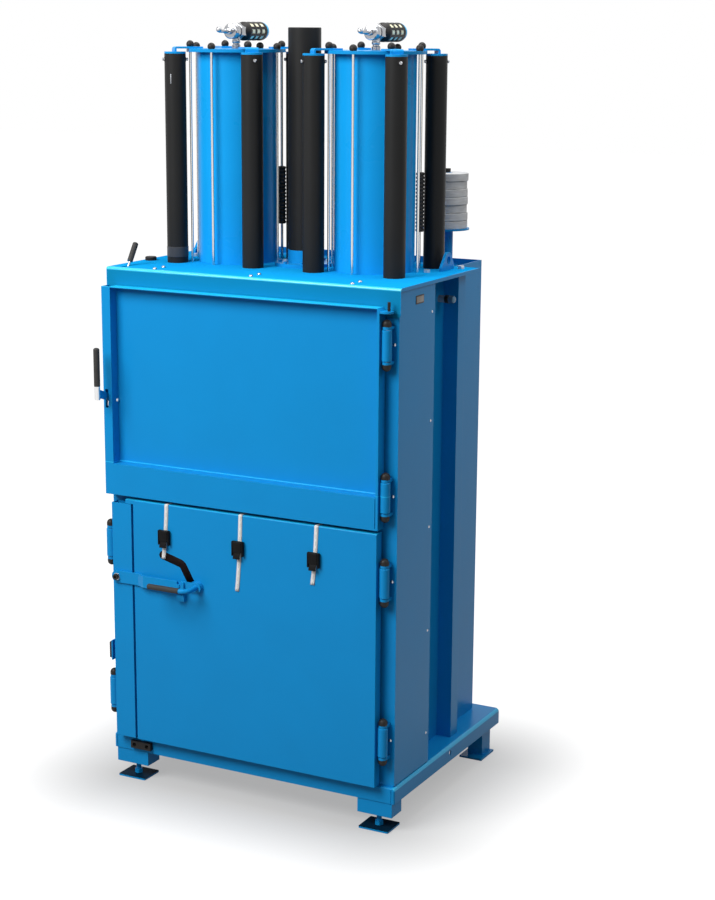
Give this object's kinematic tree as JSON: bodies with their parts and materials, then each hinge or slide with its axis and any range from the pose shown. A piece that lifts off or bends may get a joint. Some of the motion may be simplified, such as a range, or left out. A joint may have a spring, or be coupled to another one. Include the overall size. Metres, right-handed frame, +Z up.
{
  "type": "recycling baler",
  "caption": "Upright pneumatic recycling baler: loading door over a bale door, latch bar, two air cylinders with spring tubes on the hood and a strap reel behind.",
  "frame": {"origin": "floor level under the middle of the machine", "axes": "+Z up, -Y towards the doors, +X to the viewer's right at the front"},
  "size_m": [1.007, 0.9035, 2.3705],
  "materials": {
    "blue_paint": "satin blue powder coat",
    "black_paint": "satin black coat",
    "chrome": "bright plated",
    "zinc": "zinc plated",
    "black_rubber": "matt",
    "black_plastic": "matt",
    "webbing": "woven strap",
    "plate_grey": "bare plate"
  },
  "bodies": {
    "frame": {"base_frame": "blue_paint", "foot_left": "zinc", "foot_right": "zinc", "chamber_shell": "blue_paint", "front_frame": "blue_paint", "side_cover_left": "blue_paint", "side_cover_right": "blue_paint", "side_rivets": "chrome", "data_plate": "plate_grey", "hood": "blue_paint", "hinge_pins": "zinc", "hinge_caps": "black_plastic", "hinge_screws": "chrome", "guide_block": "black_plastic", "rubber_buffer": "black_rubber", "stub_coupling": "zinc", "cylinder_left": "blue_paint", "cylinder_right": "blue_paint", "cylinder_head_left": "blue_paint", "cylinder_head_right": "blue_paint", "tie_rods": "zinc", "dome_nuts": "black_plastic", "cross_bolts": "chrome", "exhaust_valve_left": "chrome", "exhaust_valve_right": "chrome", "silencer_left": "black_plastic", "silencer_right": "black_plastic", "centre_tube": "black_paint", "centre_flange": "blue_paint", "dome_bolts": "chrome", "hex_bolts": "zinc", "hood_plug": "black_plastic", "spring_tube_left_1": "black_paint", "spring_tube_left_2": "black_paint", "spring_tube_left_3": "black_paint", "spring_tube_left_4": "black_paint", "spring_tube_right_1": "black_paint", "spring_tube_right_2": "black_paint", "spring_tube_right_3": "black_paint", "spring_tube_right_4": "black_paint"},
    "control_lever": {"control_lever": "chrome"},
    "strap_reel": {"reel_disc": "blue_paint", "strap_roll": "webbing"},
    "upper_door": {"upper_door": "blue_paint", "interlock_pin": "black_plastic"},
    "door_lever": {"door_lever": "blue_paint", "door_lever_grip": "black_rubber"},
    "lower_door": {"lower_door": "blue_paint", "strap_left": "webbing", "strap_middle": "webbing", "strap_right": "webbing", "buckle_left": "black_plastic", "buckle_middle": "black_plastic", "buckle_right": "black_plastic"},
    "latch_handle": {"latch_handle": "blue_paint", "latch_grip": "black_rubber"},
    "latch_bar": {"latch_bar": "blue_paint", "latch_bolt": "zinc"},
    "latch_post": {"latch_post": "blue_paint"},
    "press_plate": {"press_plate": "blue_paint"}
  },
  "joints": [
    {"name": "upper_door_hinge", "type": "hinge", "parent": "frame", "child": "upper_door", "pos_m": [0.467, -0.347, 1.26], "axis": [0, 0, 1], "range_deg": [0, 110]},
    {"name": "door_lever_pivot", "type": "hinge", "parent": "upper_door", "child": "door_lever", "pos_m": [-0.481, -0.339, 1.234], "axis": [1, 0, 0], "range_deg": [0, 30], "stiffness_Nm_per_rad": 0.6, "springref_deg": -57.3},
    {"name": "lower_door_hinge", "type": "hinge", "parent": "frame", "child": "lower_door", "pos_m": [0.467, -0.347, 0.54], "axis": [0, 0, 1], "range_deg": [0, 110]},
    {"name": "latch_post_hinge", "type": "hinge", "parent": "frame", "child": "latch_post", "pos_m": [-0.49, -0.347, 0.535], "axis": [0, 0, -1], "range_deg": [0, 100]},
    {"name": "latch_handle_pivot", "type": "hinge", "parent": "lower_door", "child": "latch_handle", "pos_m": [-0.159, -0.37, 0.685], "axis": [0, 1, 0], "range_deg": [0, 100]},
    {"name": "latch_bar_pivot", "type": "hinge", "parent": "lower_door", "child": "latch_bar", "pos_m": [-0.454, -0.371, 0.679], "axis": [0, 1, 0], "range_deg": [0, 35]},
    {"name": "press_slide", "type": "slide", "parent": "frame", "child": "press_plate", "axis": [0, 0, -1], "range_m": [0, 0.56], "stiffness_N_per_m": 3000, "springref_m": -0.5},
    {"name": "reel_spin", "type": "hinge", "parent": "frame", "child": "strap_reel", "pos_m": [0.333, 0.328, 1.8], "axis": [0, 0, 1], "continuous": true},
    {"name": "control_lever_pivot", "type": "hinge", "parent": "frame", "child": "control_lever", "pos_m": [-0.452, -0.285, 1.632], "axis": [1, 0, 0], "range_deg": [0, 60]}
  ],
  "couplings": [
    {"joint": "latch_post_hinge", "follows": "lower_door_hinge", "ratio": 0.9}
  ]
}
